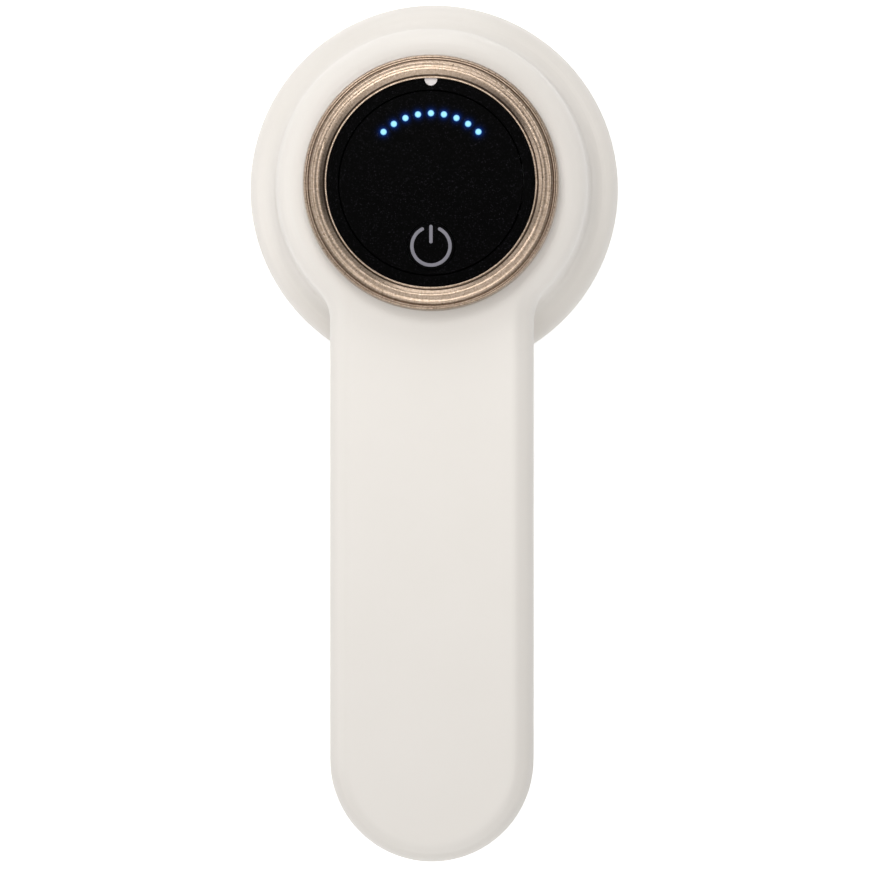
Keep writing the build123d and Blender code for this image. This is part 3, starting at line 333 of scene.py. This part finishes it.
floor = bpy.data.objects.new("floor", bpy.data.meshes.new("floor"))
reach = 4.0
floor.data.from_pydata(
    [(-reach, -reach, 0), (reach, -reach, 0), (reach, reach, 0), (-reach, reach, 0)], [], [(0, 1, 2, 3)]
)
bpy.context.scene.collection.objects.link(floor)

# White paint, lifted to clear white where it is seen directly, reflected or through the window.
drift_mm, floor_glow = 40.0, 0.50
white_floor, tree, place = blank("white_floor")
drift = node(tree, "TexNoise", {"Vector": place, "Scale": 1000 / drift_mm, "Detail": 2.0})["Fac"]
colours = {0: drift, 6: linear("#F4F4F4"), 7: linear("#F6F6F6")}
matt = node(tree, "BsdfDiffuse", {"Color": node(tree, "Mix", colours, data_type="RGBA")[2]})["BSDF"]
rays = node(tree, "LightPath")
seen = node(tree, "Math", {0: rays["Is Camera Ray"], 1: rays["Is Glossy Ray"]}, operation="ADD")["Value"]
seen = node(
    tree, "Math", {0: seen, 1: rays["Is Transmission Ray"]}, operation="ADD", use_clamp=True
)["Value"]
lift = node(tree, "Math", {0: seen, 1: floor_glow}, operation="MULTIPLY")["Value"]
glow = node(tree, "Emission", {"Color": linear("#FFFFFF"), "Strength": lift})["Emission"]
node(tree, "OutputMaterial", {"Surface": node(tree, "AddShader", {0: matt, 1: glow})["Shader"]})
floor.data.materials.append(white_floor)

world = bpy.data.worlds.new("pale_studio")
world.use_nodes = True
tree = world.node_tree
tree.nodes.clear()
way = node(tree, "TexCoord")["Generated"]
# Each glow is strength x max(cosine to its direction, 0) ^ lobe_power, over a faint base.
level, lobe_power = 0.05, 8.0
for towards, strength in (
    ((0.0, 0.0, 1.0), 1.20), ((0.0, -0.766, 0.643), 1.85), ((0.54, -0.54, 0.643), 0.72),
):
    cosine = node(tree, "VectorMath", {0: way, 1: towards}, operation="DOT_PRODUCT")["Value"]
    facing = node(tree, "Math", {0: cosine, 1: 0.0}, operation="MAXIMUM")["Value"]
    lobe = node(tree, "Math", {0: facing, 1: lobe_power}, operation="POWER")["Value"]
    level = node(tree, "Math", {0: lobe, 1: strength, 2: level}, operation="MULTIPLY_ADD")["Value"]
sky = node(tree, "Background", {"Color": linear("#FFFFFF"), "Strength": level})["Background"]
node(tree, "OutputWorld", {"Surface": sky})
bpy.context.scene.world = world


def lamp(name, place, aim, size, power):
    """Square soft box at place, facing aim."""
    data = bpy.data.lights.new(name, "AREA")
    data.shape, data.size, data.energy = "SQUARE", size, power
    made = bpy.data.objects.new(name, data)
    made.location = place
    made.rotation_euler = (Vector(aim) - Vector(place)).to_track_quat("-Z", "Y").to_euler()
    made.visible_camera = False
    bpy.context.scene.collection.objects.link(made)


middle = (0.0, -0.06, 0.02)
lamp("soft_box_beyond_head", (0.0, 0.75, 0.40), middle, 0.50, 2.30)
lamp("soft_box_left", (-0.75, -0.06, 0.40), middle, 0.50, 1.50)
lamp("soft_box_upper_left", (-0.55, 0.50, 0.45), middle, 0.50, 1.00)
lamp("soft_box_upper_right", (0.55, 0.50, 0.45), middle, 0.50, 0.50)
lamp("small_box_over_head", (-0.03, 0.10, 0.34), (-0.01, 0.02, 0.03), 0.10, 0.24)

# Camera: about 1.35 m straight above the rim, a little to the right of the head's
# axis, with a long lens.

eye, target = Vector((0.0300, -0.0638, 1.362)), Vector((0.0003, -0.0601, 0.012))
camera = bpy.data.objects.new("camera", bpy.data.cameras.new("camera"))
camera.data.lens, camera.data.sensor_width = 229.0, 36.0
camera.data.clip_start, camera.data.clip_end = 0.05, 20.0
camera.location = eye
back = (eye - target).normalized()
right = Vector((0, 1, 0)).cross(back).normalized()
up = back.cross(right)
camera.rotation_euler = Matrix((right, up, back)).transposed().to_euler()
bpy.context.scene.collection.objects.link(camera)
bpy.context.scene.camera = camera
bpy.context.scene.view_settings.view_transform = "Standard"
